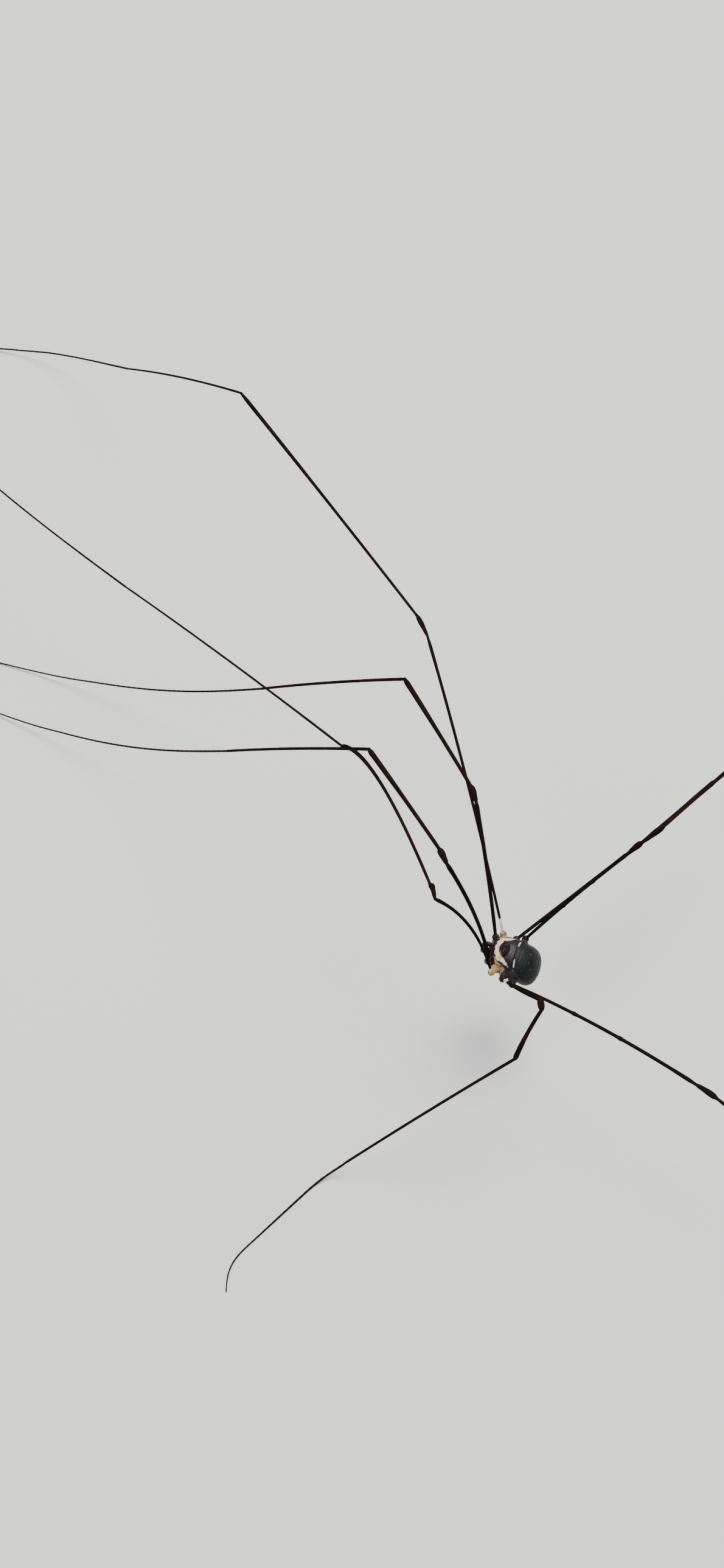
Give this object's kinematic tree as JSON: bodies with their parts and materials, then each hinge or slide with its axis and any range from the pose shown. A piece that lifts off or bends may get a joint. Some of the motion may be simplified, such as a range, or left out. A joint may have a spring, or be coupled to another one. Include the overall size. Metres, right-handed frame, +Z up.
{
  "type": "harvestman",
  "caption": "Long-legged tropical harvestman standing still on thread-like legs, with one feeler leg held out ahead of its small domed body.",
  "frame": {"origin": "on the floor that the feet stand on, at the middle of the whole animal's footprint, feeler leg included", "axes": "+Z up, -Y the way the head points, +X the animal's left"},
  "size_m": [0.1032, 0.185, 0.0356],
  "materials": {
    "slate_shield": "satin",
    "brown_body": "satin",
    "tan_mouthparts": "satin",
    "black_leg": "satin"
  },
  "bodies": {
    "root": {"abdomen": "slate_shield", "prosoma": "brown_body", "eye_left": "black_leg", "eye_right": "black_leg", "chelicera_left": "tan_mouthparts", "chelicera_right": "tan_mouthparts", "pedipalp_left": "tan_mouthparts", "pedipalp_right": "tan_mouthparts", "left_1_coxa": "brown_body", "left_1_femur": "black_leg", "left_1_patella": "black_leg", "left_1_tibia": "black_leg", "left_1_metatarsus": "black_leg", "left_1_tarsus": "black_leg", "right_1_coxa": "brown_body", "right_1_femur": "black_leg", "right_1_patella": "black_leg", "right_1_tibia": "black_leg", "right_1_metatarsus": "black_leg", "right_1_tarsus": "black_leg", "left_2_coxa": "brown_body", "left_2_femur": "black_leg", "left_2_patella": "black_leg", "left_2_tibia": "black_leg", "left_2_metatarsus": "black_leg", "left_2_tarsus": "black_leg", "right_2_coxa": "brown_body", "right_2_femur": "black_leg", "right_2_patella": "black_leg", "right_2_tibia": "black_leg", "right_2_metatarsus": "black_leg", "right_2_tarsus": "black_leg", "left_3_coxa": "brown_body", "left_3_femur": "black_leg", "left_3_patella": "black_leg", "left_3_tibia": "black_leg", "left_3_metatarsus": "black_leg", "left_3_tarsus": "black_leg", "right_3_coxa": "brown_body", "right_3_femur": "black_leg", "right_3_patella": "black_leg", "right_3_tibia": "black_leg", "right_3_metatarsus": "black_leg", "right_3_tarsus": "black_leg", "left_4_coxa": "brown_body", "left_4_femur": "black_leg", "left_4_patella": "black_leg", "left_4_tibia": "black_leg", "left_4_metatarsus": "black_leg", "left_4_tarsus": "black_leg", "right_4_coxa": "brown_body", "right_4_femur": "black_leg", "right_4_patella": "black_leg", "right_4_tibia": "black_leg", "right_4_metatarsus": "black_leg", "right_4_tarsus": "black_leg"}
  },
  "joints": []
}
